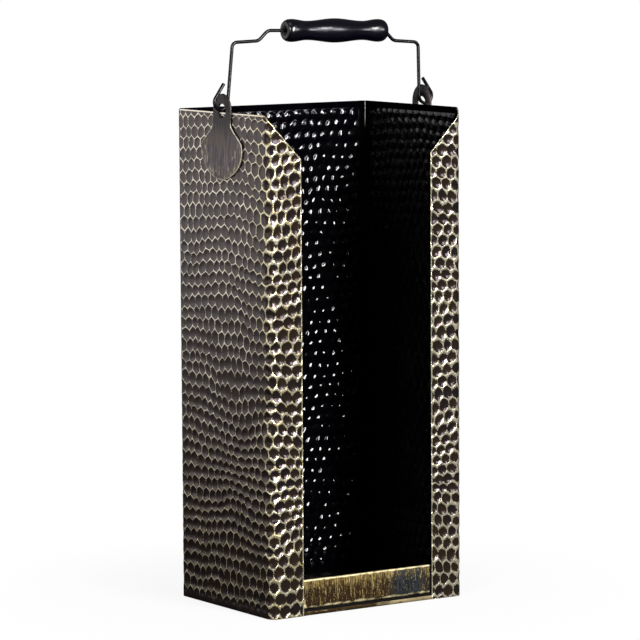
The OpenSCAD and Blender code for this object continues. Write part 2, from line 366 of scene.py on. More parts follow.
def hammer_net():
    """Flat net of hammer marks: a hexagon with two rings and a middle for each mark."""
    rng = random.Random(11)
    net = bmesh.new()
    ridge = net.verts.layers.float.new("ridge")
    dish = net.verts.layers.float.new("dish")
    tint = net.faces.layers.float.new("tint")
    rows = range(-4, int(NET_H / PITCH_UP) + 6)
    columns = range(-4, int(NET_W / PITCH_ACROSS) + 6)
    seeds = {}
    for row in rows:
        for column in columns:
            seeds[row, column] = Vector((
                (column + row % 2 / 2) * PITCH_ACROSS + rng.uniform(-JITTER, JITTER),
                row * PITCH_UP + ROW_RISE + rng.uniform(-JITTER, JITTER),
            ))
    points = {}

    def point(key, at, ridge_share, dish_share):
        if key not in points:
            points[key] = net.verts.new(sway(at.x, at.y))
            points[key][ridge] = ridge_share
            points[key][dish] = dish_share
        return points[key]

    def ring_point(middle, radius, at, share, rounding):
        ray = at - middle
        return middle + share * ray.lerp(radius * ray.normalized(), rounding)

    for row in rows[1:-1]:
        for column in columns[1:-1]:
            odd = row % 2
            around = [
                (row, column + 1),
                (row + 1, column + odd),
                (row + 1, column - 1 + odd),
                (row, column - 1),
                (row - 1, column - 1 + odd),
                (row - 1, column + odd),
            ]
            here = (row, column)
            keys = [tuple(sorted((here, around[k], around[(k + 1) % 6]))) for k in range(6)]
            corners = [sum((seeds[key] for key in three), Vector((0, 0))) / 3 for three in keys]
            middle = sum(corners, Vector((0, 0))) / 6
            border = []
            for k in range(6):
                upright = k in (0, 3)
                half_way = (corners[k - 1] + corners[k]) / 2
                seam = seam_strength(half_way.x, half_way.y) if upright else ROW_RIDGE
                seam = min(max(seam, 0.1), 0.95)
                edge_key = tuple(sorted((keys[k - 1], keys[k])))
                border.append((edge_key, half_way, seam, SEAM_SINK * (1 - seam)))
                border.append((keys[k], corners[k], 1.0, 0.0))
            radius = sum((at - middle).length for _, at, _, _ in border) / 12
            deep = rng.uniform(0.75, 1.15)
            off_fold = from_window(middle.x) - (FLANGE_FLAT + WALL_FROM) / 2
            mark = FLANGE_MARK if off_fold < BEND_LEN / 2 + 2 * MM else WALL_MARK
            if abs(off_fold) < BEND_LEN / 2:
                mark = BEND_MARK
            gilt, swell, outer_share = mark
            deep *= swell
            rim = [point(key, at, strength, low) for key, at, strength, low in border]
            first = []
            for key, at, strength, _ in border:
                spot = ring_point(middle, radius, at, outer_share, OUTER_ROUND)
                first.append(point((here, key, 1), spot, gilt * strength, OUTER_DEEP * deep))
            second = []
            for key, at, _, _ in border[1::2]:
                spot = ring_point(middle, radius, at, INNER_SHARE, INNER_ROUND)
                second.append(point((here, key, 2), spot, 0.0, INNER_DEEP * deep))
            centre = point((here, 0), middle, 0.0, deep)
            faces = []
            for k in range(12):
                faces.append((rim[k - 1], rim[k], first[k], first[k - 1]))
            for k in range(6):
                before, half, after = first[2 * k - 1], first[2 * k], first[2 * k + 1]
                faces.append((before, half, second[k - 1]))
                faces.append((half, after, second[k]))
                faces.append((half, second[k], second[k - 1]))
                faces.append((second[k - 1], second[k], centre))
            shade = rng.random()
            for corner_points in faces:
                net.faces.new(corner_points)[tint] = shade
    return net


def cut(net, start, end, inside=None):
    """Splits the net along the line from start to end, after moving points that nearly lie on it."""
    along = Vector((end[0] - start[0], end[1] - start[1], 0)).normalized()
    normal = Vector((along.y, -along.x, 0))
    at = Vector((start[0], start[1], 0))
    faces = [f for f in net.faces if inside is None or inside(f.calc_center_median())]
    points = {v for f in faces for v in f.verts}
    for v in points:
        off = (v.co - at).dot(normal)
        if abs(off) < SNAP:
            v.co -= off * normal
    edges = {e for f in faces for e in f.edges}
    bmesh.ops.bisect_plane(net, geom=[*points, *edges, *faces], dist=1e-6, plane_co=at, plane_no=normal)


def bend_steps(index, steps=4):
    return [BREAKS[index] + BEND_LEN * k / steps for k in range(steps + 1)]


SHOULDERS_FROM = 300 * MM


def of_flanges(at):
    return on_flange(at.x)


def of_walls(at):
    return not on_flange(at.x)


def of_left_shoulder(at):
    return at.x < WALL_FROM and at.y > SHOULDERS_FROM


def of_right_shoulder(at):
    return at.x > WALL_TO and at.y > SHOULDERS_FROM


def trim_net(net):
    """Cuts the net to the sheet's outline, and along the bends, the fold and the worn edges."""
    for index in (1, 3, 5, 7):
        for u in bend_steps(index):
            cut(net, (u, 0), (u, 1))
    for u in (EDGE_ROUND, WEAR_W, NET_W - WEAR_W, NET_W - EDGE_ROUND):
        cut(net, (u, 0), (u, 1))
    cut(net, (0, EDGE_ROUND), (1, EDGE_ROUND))
    cut(net, (0, WEAR_W), (1, WEAR_W), of_flanges)
    for v in [FOLD_Z - 1.2 * MM, NET_H - EDGE_ROUND] + [FOLD_Z + FOLD_LEN * k / 4 for k in range(5)]:
        cut(net, (0, v), (1, v), of_walls)
    for inset in (EDGE_ROUND, WEAR_W):
        low = shoulder_z(0) - inset / SHOULDER_COS
        high = shoulder_z(WALL_FROM) - inset / SHOULDER_COS
        cut(net, (0, low), (WALL_FROM, high), of_left_shoulder)
        cut(net, (NET_W, low), (WALL_TO, high), of_right_shoulder)
    gone = []
    for f in net.faces:
        at = f.calc_center_median()
        drop = EDGE_ROUND / SHOULDER_COS if on_flange(at.x) else EDGE_ROUND
        if from_window(at.x) < EDGE_ROUND or at.y < EDGE_ROUND or at.y > top_of(at.x) - drop:
            gone.append(f)
    bmesh.ops.delete(net, geom=gone, context="FACES")
    bmesh.ops.triangulate(net, faces=net.faces[:])
    net.verts.ensure_lookup_table()
    net.verts.index_update()


def worn_share(u, v):
    """How far the patina is rubbed off at the sheet's cut edges, from 0 to 1."""
    if on_flange(u):
        strength, reach = (1.0, 1.6 * WEAR_W) if u > NET_W / 2 else (0.7, WEAR_W)
        window = strength * (1 - smooth(from_window(u), 0.8 * EDGE_ROUND, reach))
        shoulder = 1 - smooth((shoulder_z(u) - v) * SHOULDER_COS, 0.8 * EDGE_ROUND, WEAR_W)
        return max(window, shoulder, 0.4 * (1 - smooth(v, 0.8 * EDGE_ROUND, WEAR_W)))
    return smooth(v, FOLD_Z - 1.2 * MM, FOLD_Z)


def rim_outline(net):
    """Boundary edges of the net as (first point, second point), and each point's way out."""
    edges = []
    ways = {}
    for edge in net.edges:
        if len(edge.link_faces) != 1:
            continue
        loop = edge.link_loops[0]
        first, second = loop.vert, loop.link_loop_next.vert
        along = (second.co - first.co).normalized()
        out = Vector((along.y, -along.x))
        edges.append((first.index, second.index))
        for v in (first, second):
            ways[v.index] = ways.get(v.index, Vector((0, 0))) + out
    return edges, {index: way.normalized() for index, way in ways.items()}


BRASS = rgb(0.74, 0.62, 0.3)
BRASS_PALE = rgb(0.88, 0.82, 0.58)
WALL_BRASS = rgb(1.0, 0.94, 0.78)
WALL_GOLD = rgb(0.98, 0.87, 0.54)
PATINA = rgb(0.008, 0.0058, 0.0058)
PATINA_WARM = rgb(0.014, 0.009, 0.0055)
PATINA_SHEEN = rgb(1.0, 0.81, 0.79)
LACQUER = rgb(0.0005, 0.0004, 0.0011)
LACQUER_DULL = rgb(0.0012, 0.001, 0.0014)
# Colour of the painted highlight down the back right bend
PAINTED_GLINT = rgb(0.6, 0.58, 0.52)
LEFT_FACE = -HALF_W
FRONT_FACE = -HALF_D


def hammered_outside():
    """Brown patina, rubbed to brass on the ridges: paler on the left wall, golden low and in front."""
    n = Nodes("hammered_outside")
    ridge = n.attribute("ridge")
    worn = n.attribute("worn")
    fine = n.noise(900, detail=4)
    broad = n.noise(22, detail=2)
    patch = n.noise(75, detail=3)
    parts = n.add("ShaderNodeSeparateXYZ", {0: n.place()})
    across, behind, height = (parts.outputs[axis] for axis in "XYZ")
    rub = n.math("ADD", ridge, n.ramp(fine, 0.25, 0.75, -0.25, 0.25))
    rub = n.math("ADD", rub, n.ramp(patch, 0.3, 0.7, -0.16, 0.12))
    rub = n.math("ADD", rub, n.ramp(across, LEFT_FACE + 2 * MM, LEFT_FACE + 5 * MM, 0.0, 0.05))
    brass = n.math("MAXIMUM", n.ramp(rub, 0.45, 0.8), n.ramp(n.math("ADD", worn, fine), 0.85, 1.25))
    patina = n.blend(n.ramp(n.math("ADD", n.attribute("tint"), broad), 0.5, 1.4), PATINA, PATINA_WARM)
    on_wall = n.ramp(across, LEFT_FACE + 0.3 * MM, LEFT_FACE + 3 * MM, 1.0, 0.0)
    pale = n.math("ADD", n.noise(160), n.ramp(across, -90 * MM, 70 * MM, 0.1, 0.27))
    pale = n.math("ADD", pale, n.math("MULTIPLY", on_wall, 0.35))
    gold = n.blend(n.ramp(pale, 0.38, 0.75), BRASS, BRASS_PALE)
    low = n.ramp(height, 50 * MM, 220 * MM, 0.9, 0.0)
    in_front = n.ramp(behind, FRONT_FACE + 7 * MM, FRONT_FACE + 43 * MM, 0.8, 0.0)
    wall_gold = n.blend(n.math("MAXIMUM", low, in_front), WALL_BRASS, WALL_GOLD)
    gloss = n.math("ADD", n.ramp(n.noise(300), 0.3, 0.7, 0.11, 0.19), n.math("MULTIPLY", brass, 0.1))
    wall_dull = n.ramp(across, LEFT_FACE + 2 * MM, LEFT_FACE + 5 * MM, 0.06, 0.0)
    return n.finish(
        Base_Color=n.blend(brass, patina, n.blend(on_wall, gold, wall_gold)),
        Metallic=n.math("MULTIPLY", brass, 0.85),
        Roughness=n.math("ADD", gloss, wall_dull),
        Normal=n.bump(n.noise(1400, detail=4), 0.05 * MM),
        Specular_IOR_Level=0.65,
        Specular_Tint=PATINA_SHEEN,
    )


def hammered_inside():
    """Black lacquer; painted shade takes the reflection off the hem and the far corners, and a painted
    highlight runs down the back right bend.
    """
    n = Nodes("hammered_inside")
    dull = n.noise(60, detail=4)
    height = n.add("ShaderNodeSeparateXYZ", {0: n.place()}).outputs["Z"]
    # Painted shade: on the far inside corners (the inner skin's ridge value) and on the hem the lacquer
    # loses its reflection and grows rougher.
    shade_mask = n.math("MAXIMUM", n.attribute("ridge"), n.ramp(height, HEM_Z - MM, HEM_Z + 0.3 * MM))
    near_rim = n.ramp(height, RIM_Z - 26 * MM, RIM_Z - 14 * MM)
    # Painted highlight: a pale line down the top of the back right bend, standing in for the light that
    # the bend catches.
    glint_mask = n.math("MULTIPLY", n.ramp(n.attribute("glint_line"), 0.7, 0.85), near_rim)
    black = n.blend(n.ramp(dull, 0.35, 0.75), LACQUER, LACQUER_DULL)
    return n.finish(
        Base_Color=n.blend(glint_mask, black, PAINTED_GLINT),
        Roughness=n.math("ADD", n.ramp(dull, 0.3, 0.75, 0.06, 0.11), n.math("MULTIPLY", shade_mask, 0.4)),
        Specular_IOR_Level=n.ramp(shade_mask, 0.0, 1.0, 0.34, 0.0),
    )


CHART_EDGE = 5 * MM


def chart(u, v, half):
    """Place on the piece's map: the outside in the lower half, the inside in the upper one."""
    across = (u + CHART_EDGE) / (NET_W + 2 * CHART_EDGE)
    up = (v + CHART_EDGE) / (NET_H + 2 * CHART_EDGE)
    return across, (up + half) / 2


# The brim between the skins: share of the sheet's depth and ridge of its two rows of points, and how
# far past the cut each row lies on the map
BRIM_ROWS = [(0.25, 1.0), (0.75, 0.0)]
BRIM_REACH = (0.0, 1.0, 2.5, 3.5)
HEM_FROM = FOLD_Z + 0.3 * FOLD_LEN
BRIM_TINT = 0.5


def skin_points(net):
    """Points of the outer and then the inner skin, with the ridge, worn and painted glint value of each;
    the inner skin's ridge value marks the far corners for painted shade.
    """
    ridge = net.verts.layers.float["ridge"]
    dish = net.verts.layers.float["dish"]
    outer, inner = [], []
    for v in net.verts:
        u, up = v.co.x, v.co.y
        rise = BUMP_RISE * v[dish] * inside_share(u, up)
        dip = min(DISH_DEPTH * v[dish] * outside_share(u, up), rise + 0.8 * SHEET)
        low_fade = 1 if on_flange(u) else smooth(up, 3 * MM, 7 * MM)
        # The painted highlight line along the back right bend; on the outer skin it is kept to the hem.
        glint_here = glint_line_share(u)
        outer.append((place(u, up, dip), v[ridge] * low_fade, worn_share(u, up), glint_here * (up > FOLD_Z)))
        # The inner skin's ridge value marks the far corners, where painted shade goes.
        inner.append((place(u, up, SHEET + rise), inner_corner(u), 0.0, glint_here))
    return outer + inner


def skin_faces(net, flat):
    """Faces of both skins as (point numbers, places on the map, tint, material)."""
    tint = net.faces.layers.float["tint"]
    found = []
    for f in net.faces:
        corners = [v.index for v in f.verts]
        middle = f.calc_center_median()
        hem = middle.y > HEM_FROM and not on_flange(middle.x)
        for layer, order in ((0, corners[::-1]), (1, corners)):
            numbers = [index + layer * len(flat) for index in order]
            spots = [chart(*flat[index], layer) for index in order]
            found.append((numbers, spots, f[tint], 1 if layer or hem else 0))
    return found


def add_brim(net, flat, points, faces):
    """Rounds the sheet's cut edges with two rows of points between the skins."""
    edges, ways = rim_outline(net)
    brim = {}
    for index, way in ways.items():
        at = Vector(flat[index]) + EDGE_ROUND * way
        brim[index] = len(points)
        for share, front in BRIM_ROWS:
            worn = front if on_flange(at.x) else 0.0
            points.append((place(at.x, at.y, share * SHEET), front, worn, 0.0))
    for first, second in edges:
        rungs = [(first, second), (brim[first], brim[second]), (brim[first] + 1, brim[second] + 1)]
        rungs.append((first + len(flat), second + len(flat)))
        wall_edge = not on_flange((flat[first][0] + flat[second][0]) / 2)
        material = 1 if wall_edge and flat[first][1] > RIM_Z else 0
        for step in range(3):
            (a, b), (c, d) = rungs[step], rungs[step + 1]
            near, far = EDGE_ROUND * BRIM_REACH[step], EDGE_ROUND * BRIM_REACH[step + 1]
            corners = ((first, near), (second, near), (second, far), (first, far))
            spots = [chart(*(Vector(flat[owner]) + reach * ways[owner]), 0) for owner, reach in corners]
            faces.append(([a, b, d, c], spots, BRIM_TINT, material))


def make_shell():
    net = hammer_net()
    trim_net(net)
    flat = [(v.co.x, v.co.y) for v in net.verts]
    points = skin_points(net)
    faces = skin_faces(net, flat)
    add_brim(net, flat, points, faces)
    net.free()
    places, ridges, worn, glint_lines = zip(*points)
    corners, charts, tints, materials = zip(*faces)
    mesh = bpy.data.meshes.new("hammered_bin")
    mesh.from_pydata(places, [], corners)
    mesh.polygons.foreach_set("use_smooth", [True] * len(faces))
    mesh.polygons.foreach_set("material_index", materials)
    for key, values in (("ridge", ridges), ("worn", worn), ("glint_line", glint_lines)):
        mesh.attributes.new(key, "FLOAT", "POINT").data.foreach_set("value", values)
    mesh.attributes.new("tint", "FLOAT", "FACE").data.foreach_set("value", tints)
    layer = mesh.uv_layers.new(name="OFBake")
    layer.uv.foreach_set("vector", [value for face in charts for spot in face for value in spot])
    mesh.materials.append(hammered_outside())
    mesh.materials.append(hammered_inside())
    mesh.update()
    piece = bpy.data.objects.new("hammered_bin", mesh)
    bpy.context.scene.collection.objects.link(piece)
    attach(piece, "carrier")
    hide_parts("body_shell")


make_shell()


# Shared steps of the smaller pieces


def add_piece(name, points, faces, body, node, slot, material, **shares):
    """A smooth mesh piece that stands for a node; shares are its named values per point."""
    mesh = bpy.data.meshes.new(name)
    mesh.from_pydata(points, [], faces)
    mesh.polygons.foreach_set("use_smooth", [True] * len(faces))
    for key, values in shares.items():
        mesh.attributes.new(key, "FLOAT", "POINT").data.foreach_set("value", values)
    mesh.materials.append(material)
    shape = bmesh.new()
    shape.from_mesh(mesh)
    bmesh.ops.recalc_face_normals(shape, faces=shape.faces[:])
    shape.to_mesh(mesh)
    shape.free()
    piece = bpy.data.objects.new(name, mesh)
    bpy.context.scene.collection.objects.link(piece)
    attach(piece, body)
    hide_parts(node)


def arc(centre, radius, first, last, steps):
    """Points of an arc, angles in degrees."""
    angles = [math.radians(first + (last - first) * k / steps) for k in range(steps + 1)]
    return [(centre[0] + radius * math.cos(a), centre[1] + radius * math.sin(a)) for a in angles]


def bridge(first, second):
    """Quads between two closed rings of point numbers."""
    count = len(first)
    return [(first[k], first[(k + 1) % count], second[(k + 1) % count], second[k]) for k in range(count)]


def flatten(rings):
    """All points of the rings in a row, and the numbers of each ring's points."""
    points, numbers = [], []
    for ring in rings:
        numbers.append(range(len(points), len(points) + len(ring)))
        points += ring
    return points, numbers


# Ears

EAR_T = 1.5 * MM
EYE_R = 6.1 * MM
EYE_DROP = 1.0 * MM
CROWNS = {-1: 0.0, 1: 1.8 * MM}
NECK_X = 13.7 * MM
SPOON_R = 31.7 * MM
SPOON_DROP = 28.2 * MM
CHEEK_R = 10 * MM
CHEEK_DROP = 7.5 * MM
SLANT = math.radians(43)
NECK_FILLET_R = 9 * MM
EAR_LEANS = {-1: math.radians(4), 1: 0.0}
EAR_WEAR = {-1: 1.0, 1: 0.25}
EAR_TWISTS = {-1: 0.15, 1: 0.0}
SPOON_WIDER = 0.03
FRONT_SHIFT = 12 * MM


def ear_outline(crown, twist):
    """Outline of an ear round its eye, anticlockwise from the top; the crown is that much taller.

    The twist lifts the spoon's front shoulder and shifts the neck and the spoon to the front.
    """
    cheek = (math.sqrt((SPOON_R - CHEEK_R) ** 2 - CHEEK_DROP**2), -SPOON_DROP - CHEEK_DROP)
    normal = (math.sin(SLANT), math.cos(SLANT))
    slant_start = (cheek[0] + CHEEK_R * normal[0], cheek[1] + CHEEK_R * normal[1])
    fillet_x = NECK_X + NECK_FILLET_R
    rise = (NECK_FILLET_R - (fillet_x - slant_start[0]) * normal[0]) / normal[1]
    fillet = (fillet_x, slant_start[1] + rise)
    slant_angle = 90 - math.degrees(SLANT)
    cheek_end = math.degrees(math.atan2(-CHEEK_DROP, cheek[0]))
    right = [(x, y * (1 + crown / NECK_X)) for x, y in arc((0, 0), NECK_X, 90, 0, 12)]
    right += arc(fillet, NECK_FILLET_R, 180, 180 + slant_angle, 5)
    right += arc(cheek, CHEEK_R, slant_angle, cheek_end, 7)
    right += arc((0, -SPOON_DROP), SPOON_R, cheek_end, -90, 16)[1:]
    left = [(-x, y) for x, y in right[1:-1]]
    whole = [right[0]] + left + [right[-1]] + right[-2:0:-1]
    turned = []
    for x, y in whole:
        front = twist if x < 0 else 0.0
        shoulders = smooth(-y, 8 * MM, 16 * MM) * (1 - smooth(-y, 28 * MM, 44 * MM))
        wide = 1 + SPOON_WIDER * smooth(-y, 24 * MM, 32 * MM)
        shift = FRONT_SHIFT * front * smooth(-y, 8 * MM, 24 * MM) * (1 - smooth(-y, 46 * MM, 58 * MM))
        turned.append((x * wide - shift, y - front * x * shoulders))
    return turned


def ring_ways(ring):
    """Outward direction at each point of a closed anticlockwise ring."""
    found = []
    for k, at in enumerate(ring):
        before, after = Vector(ring[k - 1]), Vector(ring[(k + 1) % len(ring)])
        along = (after - before).normalized()
        found.append(Vector((along.y, -along.x)))
    return found


# Steps of a stamped edge from back to front: (in from the outline, below the front face, wear)
EDGE_STEPS = [
    (0.0, EAR_T, 0.0),
    (0.0, 0.9 * MM, 0.0),
    (0.0, 0.45 * MM, 0.8),
    (0.12 * MM, 0.12 * MM, 1.0),
    (0.4 * MM, 0.0, 0.9),
    (0.85 * MM, 0.0, 0.0),
    (4.0 * MM, 0.0, 0.0),
]
EYE_INSET = 1.2 * MM


def make_ear(name, node, side):
    outline = ear_outline(CROWNS[side], EAR_TWISTS[side])
    eye = arc((0, -EYE_DROP), EYE_R, 90, 450, 32)[:-1]
    rings, worn = [], []
    lean = EAR_LEANS[side]
    eye_y = SWING_AT.y + side * (HALF_W + EAR_T / 2) * SWING_AXIS.y / SWING_AXIS.x
    for ring, inward, most in ((outline, -1, math.inf), (eye, 1, EYE_INSET)):
        ways = ring_ways(ring)
        for inset, depth, wear in EDGE_STEPS:
            row = []
            for at, way in zip(ring, ways):
                a, b = Vector(at) + inward * min(inset, most) * way
                y = eye_y + a * math.cos(lean) - b * math.sin(lean)
                z = SWING_AT.z + a * math.sin(lean) + b * math.cos(lean)
                row.append((side * (HALF_W + EAR_T - depth), y, z))
                worn.append(wear * EAR_WEAR[side] * (1 - smooth(b, -16 * MM, -2 * MM)))
            rings.append(row)
    points, numbers = flatten(rings)
    faces = []
    steps = len(EDGE_STEPS)
    for start in (0, steps):
        for k in range(start, start + steps - 1):
            faces += bridge(numbers[k], numbers[k + 1])
    for a, b in ((steps - 1, 2 * steps - 1), (0, steps)):
        faces += fill_between(points, numbers[a], numbers[b])
    spoon_y, spoon_z = eye_y + SPOON_DROP * math.sin(lean), SWING_AT.z - SPOON_DROP * math.cos(lean)
    metal = ear_metal(name, (side * HALF_W, spoon_y, spoon_z))
    add_piece(name, points, faces, "carrier", node, "ear_plate", metal, worn=worn)


def fill_between(points, outer, inner):
    """Triangles that fill a flat ring-shaped face between two closed rings of point numbers."""
    shape = bmesh.new()
    back = {}
    for ring in (outer, inner):
        made = []
        for number in ring:
            v = shape.verts.new(points[number])
            back[v] = number
            made.append(v)
        for k, v in enumerate(made):
            shape.edges.new((v, made[(k + 1) % len(made)]))
    bmesh.ops.triangle_fill(shape, edges=shape.edges[:], use_beauty=True)
    faces = [tuple(back[v] for v in f.verts) for f in shape.faces]
    shape.free()
    return faces


EAR_DARK = rgb(0.022, 0.017, 0.02)
EAR_LIGHT = rgb(0.2, 0.165, 0.18)
EAR_BROWN = rgb(0.125, 0.095, 0.06)
# Colour of the painted shade on the neck and crown
EAR_NECK_SHADE = rgb(0.008, 0.006, 0.007)
EAR_CHIP = rgb(0.6, 0.54, 0.4)
EAR_EDGE = rgb(0.95, 0.88, 0.66)


def ear_metal(name, spoon):
    """Brushed dark steel, chipped near the edge of the spoon, whose middle is given; painted shade
    darkens the neck and crown.
    """
    n = Nodes(name)
    streak = n.noise(1.0, n.place((900, 900, 45)), detail=5, roughness=0.7)
    away = n.add("ShaderNodeVectorMath", {0: n.place(), 1: spoon}, operation="DISTANCE").outputs["Value"]
    cloud = n.noise(85, detail=3)
    rub = n.math("ADD", n.attribute("worn"), n.ramp(n.noise(500), 0.2, 0.8, -0.35, 0.35))
    edge = n.ramp(rub, 0.42, 0.85)
    chips = n.ramp(n.noise(1.0, n.place((380, 380, 170)), detail=3), 0.52, 0.64)
    height = n.add("ShaderNodeSeparateXYZ", {0: n.place()}).outputs["Z"]
    low = n.ramp(height, SWING_AT.z - 30 * MM, SWING_AT.z - 12 * MM, 1.0, 0.0)
    plate = n.blend(n.ramp(streak, 0.4, 0.6), EAR_DARK, EAR_LIGHT)
    plate = n.blend(n.ramp(cloud, 0.42, 0.62, 0.0, 0.55), plate, EAR_BROWN)
    # Painted shade: the plate darkens upwards over the neck and the crown round the eye.
    neck = n.ramp(height, SWING_AT.z - 30 * MM, SWING_AT.z - 6 * MM, 0.0, 0.8)
    plate = n.blend(neck, plate, EAR_NECK_SHADE)
    rubbed = n.math("MULTIPLY", n.math("MULTIPLY", chips, low), n.ramp(away, 19 * MM, 24 * MM))
    plate = n.blend(n.math("MULTIPLY", rubbed, 0.6), plate, EAR_CHIP)
    return n.finish(
        Base_Color=n.blend(edge, plate, EAR_EDGE),
        Metallic=0.4,
        Roughness=n.ramp(streak, 0.3, 0.7, 0.34, 0.55),
        Normal=n.bump(streak, 0.08 * MM),
    )


make_ear("ear_plate_left", "ear_left", -1)
make_ear("ear_plate_right", "ear_right", 1)


# Lip across the bottom of the window

LIP_LOW, LIP_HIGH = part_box("front_lip")
LIP_STEP = 2.5 * MM
WINDOW_HALF = HALF_W - FLANGE_W


def lip_profile():
    """Closed section of the lip as (y, z, wear): a folded top, a plain face and a foot on the floor."""
    front = LIP_LOW.y
    back = front + SHEET
    low, high = LIP_LOW.z, LIP_HIGH.z
    fold = 4 * MM
    bend = 1.5 * MM
    top = [(y, z, 1.0) for y, z in arc((back, high - SHEET), SHEET, 180, 0, 8)]
    rear = [(back + SHEET, high - fold + 0.2 * MM, 0.5), (back + 0.8 * SHEET, high - fold, 0.5)]
    rear += [(back + 0.1 * MM, high - fold, 0.0), (back, high - fold - 0.3 * MM, 0.0)]
    inner_bend = (back + bend - SHEET / 2, low + 1.5 * SHEET)
    inner = [(y, z, 0.0) for y, z in arc(inner_bend, 0.5 * SHEET, 180, 270, 3)]
    foot_end = (LIP_HIGH.y - SHEET / 2, low + SHEET / 2)
    foot = [(y, z, 0.3) for y, z in arc(foot_end, SHEET / 2, 90, -90, 4)]
    heel = [(y, z, 0.8) for y, z in arc((front + bend, low + bend), bend, 270, 180, 5)]
    face = [(front, low + bend + (high - low - bend - SHEET) * k / 8, 0.0) for k in range(1, 7)]
    face.append((front, high - 2.4 * MM, 0.35))
    return top + rear + inner + foot + heel + face


def make_lip():
    """The section drawn along X, a little wavy towards its free top."""
    profile = lip_profile()
    length = LIP_HIGH.x - LIP_LOW.x
    stations = int(length / LIP_STEP)
    rings = []
    for k in range(stations + 1):
        x = LIP_LOW.x + length * k / stations
        ring = []
        for y, z, _ in profile:
            free = smooth(z, LIP_LOW.z + 4 * MM, LIP_HIGH.z)
            wave = 0.35 * MM * free * noise.noise(Vector((x / 0.03, z / 0.02, 4.4)))
            sag = 0.25 * MM * free * noise.noise(Vector((x / 0.05, 0.0, 9.9)))
            ring.append((x, y + abs(wave), z - abs(sag)))
        rings.append(ring)
    points, numbers = flatten(rings)
    worn = [wear for _, _, wear in profile] * len(rings)
    faces = [tuple(numbers[0]), tuple(numbers[-1])]
    for first, second in zip(numbers, numbers[1:]):
        faces += bridge(first, second)
    add_piece("lip", points, faces, "carrier", "front_lip", "lip_sheet", brushed_brass(), worn=worn)


LIP_GOLD = (rgb(0.6, 0.48, 0.19), rgb(0.23, 0.155, 0.045))
LIP_BROWN = (rgb(0.012, 0.0055, 0.003), rgb(0.058, 0.031, 0.013))
LIP_BLUE = (rgb(0.01, 0.014, 0.018), rgb(0.045, 0.048, 0.05))
LIP_EDGE = rgb(0.74, 0.64, 0.36)
LIP_SHADE = rgb(0.004, 0.004, 0.004)


def brushed_brass():
    """Streaks of gold and brown, blued near the right end, bright on the edges and low at the left, with
    a painted shadow at the right end.
    """
    n = Nodes("lip_brass")
    streak = n.noise(1.0, n.place((260, 260, 30)), detail=4, roughness=0.6)
    thin = n.noise(1.0, n.place((1050, 1050, 150)), detail=4, roughness=0.75)
    speck = n.noise(1.0, n.place((1500, 1500, 600)), detail=2)
    parts = n.add("ShaderNodeSeparateXYZ", {0: n.place()})
    across = parts.outputs["X"]
    dull = n.ramp(across, 50 * MM, 66 * MM, 1.0, 0.35)
    dull = n.math("MULTIPLY", n.ramp(across, 16 * MM, 34 * MM), dull)
    down = n.ramp(parts.outputs["Z"], LIP_HIGH.z - 13 * MM, LIP_HIGH.z - 3 * MM, 0.045, -0.06)
    mixed = n.math("ADD", n.math("MULTIPLY", streak, 0.3), n.math("MULTIPLY", thin, 0.7))
    mixed = n.math("ADD", n.math("ADD", mixed, n.math("MULTIPLY", dull, 0.07)), down)
    mixed = n.math("ADD", mixed, n.ramp(speck, 0.3, 0.7, -0.08, 0.08))
    dark = n.ramp(mixed, 0.43, 0.51)
    gold = n.blend(n.ramp(thin, 0.34, 0.52), *LIP_GOLD)
    brown = n.blend(n.ramp(speck, 0.42, 0.64), *LIP_BROWN)
    blue = n.blend(n.ramp(thin, 0.4, 0.6), *LIP_BLUE)
    face = n.blend(dark, gold, n.blend(dull, brown, blue))
    rub = n.math("ADD", n.attribute("worn"), n.ramp(n.noise(170, detail=4), 0.2, 0.8, -0.35, 0.35))
    low = n.ramp(parts.outputs["Z"], LIP_LOW.z + 7 * MM, LIP_LOW.z + 14 * MM, 0.75, 0.1)
    left_end = n.ramp(across, -WINDOW_HALF + 1.5 * MM, -WINDOW_HALF + 4 * MM, 1.0, 0.0)
    rub = n.math("ADD", rub, n.math("MULTIPLY", low, left_end))
    edge = n.ramp(rub, 0.55, 1.05)
    lit = n.blend(edge, face, LIP_EDGE)
    # Painted shadow: the lip turns black at its right end, where the right flange's edge shades it.
    flange_shadow = n.ramp(across, WINDOW_HALF - 2.5 * MM, WINDOW_HALF - 1.5 * MM)
    return n.finish(
        Base_Color=n.blend(flange_shadow, lit, LIP_SHADE),
        Metallic=0.6,
        Specular_IOR_Level=0.2,
        Roughness=n.ramp(thin, 0.35, 0.65, 0.3, 0.5),
        Normal=n.bump(thin, 0.06 * MM),
    )


make_lip()


# Floor of the bin: a shallow tray with its rim turned down to the ground

TRAY_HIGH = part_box("base_plate")[1]
TRAY_R = 7 * MM
TRAY_BEND = 1.5 * MM


def tray_ring(inset, z):
    """Points of a rounded rectangle, that far in from the tray's outside."""
    half_w, half_d = TRAY_HIGH.x - inset, TRAY_HIGH.y - inset
    radius = max(TRAY_R - inset, 0.6 * MM)
    corners = []
    for x_side, y_side, start in ((1, 1, 0), (-1, 1, 90), (-1, -1, 180), (1, -1, 270)):
        centre = (x_side * (half_w - radius), y_side * (half_d - radius))
        corners.append(arc(centre, radius, start, start + 90, 8))
    ring = []
    for corner, following in zip(corners, corners[1:] + corners[:1]):
        end, goal = Vector(corner[-1]), Vector(following[0])
        ring += corner + [end.lerp(goal, k / 12) for k in range(1, 12)]
    return [(x, y, z) for x, y in ring]


